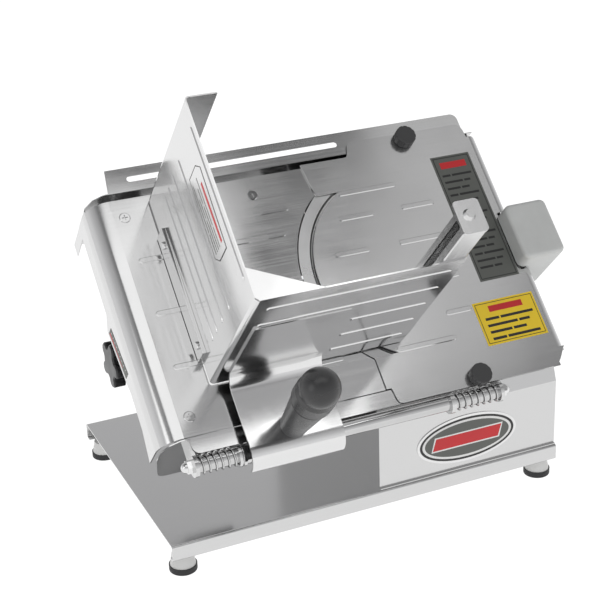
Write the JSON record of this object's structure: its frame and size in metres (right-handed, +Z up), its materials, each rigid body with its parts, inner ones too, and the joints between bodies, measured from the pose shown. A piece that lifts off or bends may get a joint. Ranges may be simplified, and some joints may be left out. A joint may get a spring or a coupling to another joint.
{
  "type": "meat slicer",
  "caption": "Bench-top gravity-feed meat slicer: round blade under a cover on a sloping steel deck, sliding carriage, thickness knob and motor casing.",
  "frame": {"origin": "bottom centre of the machine's box, on the surface that the feet stand on", "axes": "+X to the operator's right along the slide rod, +Y away from the operator, +Z up; the deck slopes up and back by 43.65 degrees"},
  "size_m": [0.4924, 0.446, 0.4788],
  "materials": {
    "stainless": "satin brushed sheet",
    "machined_steel": "turned or milled",
    "blade_steel": "ground and polished",
    "bright_fasteners": "bright",
    "spring_steel": "drawn wire",
    "cast_aluminium": "as cast",
    "black_plastic": "semi-gloss",
    "black_rubber": "matt",
    "grey_plastic": "fine grain",
    "white_nylon": "matt",
    "abrasive": "gritty",
    "green_plastic": "gloss",
    "red_plastic": "gloss",
    "grey_label": "printed film",
    "yellow_label": "printed film",
    "badge": "domed badge"
  },
  "bodies": {
    "machine": {"base_plate": "stainless", "motor_housing": "stainless", "deck_frame": "stainless", "blade_cover": "stainless", "drive_plate": "stainless", "guide_frame": "stainless", "slide_rod": "machined_steel", "rod_brackets": "machined_steel", "bearing_housing": "machined_steel", "blade_bearings": "machined_steel", "motor_mount_plate": "machined_steel", "motor_standoffs": "machined_steel", "guide_posts": "machined_steel", "regulator_bracket": "machined_steel", "sharpener_bracket": "machined_steel", "cover_studs": "machined_steel", "rod_nuts": "bright_fasteners", "left_spring": "spring_steel", "right_spring": "spring_steel", "motor_body": "cast_aluminium", "cable_gland": "black_plastic", "switch_plate": "black_plastic", "foot_rings": "black_rubber", "right_bumper": "black_rubber", "drive_belt": "black_rubber", "foot_cones": "grey_plastic", "sharpener_housing": "grey_plastic", "warning_label": "grey_label", "caution_label": "yellow_label", "badge_plate": "badge"},
    "blade_unit": {"blade": "blade_steel", "blade_hub": "machined_steel", "blade_shaft": "machined_steel", "blade_screws": "bright_fasteners", "blade_pulley": "cast_aluminium"},
    "motor_rotor": {"motor_shaft": "machined_steel", "motor_pulley": "cast_aluminium"},
    "gauge": {"gauge_plate": "stainless", "gauge_screws": "bright_fasteners", "gauge_carrier": "machined_steel", "dial_label": "grey_label"},
    "regulator": {"regulator_shaft": "machined_steel", "regulator_knob": "black_plastic"},
    "front_knob": {"front_cover_knob": "black_plastic"},
    "rear_knob": {"rear_cover_knob": "black_plastic"},
    "carriage_bushes": {"sleeve_bushes": "white_nylon"},
    "carriage": {"carriage_sleeve": "machined_steel", "carriage_tray": "stainless", "corner_gusset": "stainless", "side_strip": "white_nylon", "side_strip_screws": "bright_fasteners", "handle_plate": "stainless", "handle": "black_plastic", "pusher_post": "machined_steel", "post_cap": "machined_steel"},
    "pusher": {"presser": "stainless"},
    "start_push": {"start_button": "green_plastic"},
    "stop_push": {"stop_button": "red_plastic"},
    "grinding_wheel": {"grinding_stone": "abrasive"},
    "truing_wheel": {"truing_stone": "abrasive"}
  },
  "joints": [
    {"name": "blade_spin", "type": "hinge", "parent": "machine", "child": "blade_unit", "pos_m": [0.07815, 0.03485, 0.22568], "axis": [0, -0.6903, 0.7236], "continuous": true},
    {"name": "motor_spin", "type": "hinge", "parent": "machine", "child": "motor_rotor", "pos_m": [0.12615, 0.01977, 0.15601], "axis": [0, -0.6903, 0.7236], "continuous": true},
    {"name": "regulator_turn", "type": "hinge", "parent": "machine", "child": "regulator", "pos_m": [-0.18885, 0.07892, 0.17513], "axis": [-1, 0, 0], "range_deg": [0, 270]},
    {"name": "gauge_lower", "type": "slide", "parent": "machine", "child": "gauge", "axis": [0, 0.6903, -0.7236], "range_m": [0, 0.002]},
    {"name": "front_knob_turn", "type": "hinge", "parent": "machine", "child": "front_knob", "pos_m": [0.10015, -0.09443, 0.15764], "axis": [0, -0.6903, 0.7236], "continuous": true},
    {"name": "rear_knob_turn", "type": "hinge", "parent": "machine", "child": "rear_knob", "pos_m": [0.12315, 0.11215, 0.35471], "axis": [0, -0.6903, 0.7236], "continuous": true},
    {"name": "carriage_slide", "type": "slide", "parent": "machine", "child": "carriage_bushes", "axis": [1, 0, 0], "range_m": [0, 0.122]},
    {"name": "carriage_tilt", "type": "hinge", "parent": "carriage_bushes", "child": "carriage", "pos_m": [-0.11185, -0.09601, 0.1354], "axis": [1, 0, 0], "range_deg": [0, 45]},
    {"name": "pusher_slide", "type": "slide", "parent": "carriage", "child": "pusher", "axis": [0, -0.6903, 0.7236], "range_m": [0, 0.18]},
    {"name": "start_press", "type": "slide", "parent": "machine", "child": "start_push", "axis": [-1, 0, 0], "range_m": [0, 0.003], "stiffness_N_per_m": 400, "springref_m": -0.002},
    {"name": "stop_press", "type": "slide", "parent": "machine", "child": "stop_push", "axis": [-1, 0, 0], "range_m": [0, 0.004], "stiffness_N_per_m": 400, "springref_m": -0.002},
    {"name": "grinding_wheel_spin", "type": "hinge", "parent": "machine", "child": "grinding_wheel", "pos_m": [0.20915, 0.02051, 0.21753], "axis": [0, -0.6903, 0.7236], "continuous": true},
    {"name": "truing_wheel_spin", "type": "hinge", "parent": "machine", "child": "truing_wheel", "pos_m": [0.20915, 0.04373, 0.24244], "axis": [0, -0.6903, 0.7236], "continuous": true}
  ],
  "couplings": [
    {"joint": "motor_spin", "follows": "blade_spin", "ratio": 2.2222},
    {"joint": "regulator_turn", "follows": "gauge_lower", "rad_per_m": 2356.2}
  ]
}
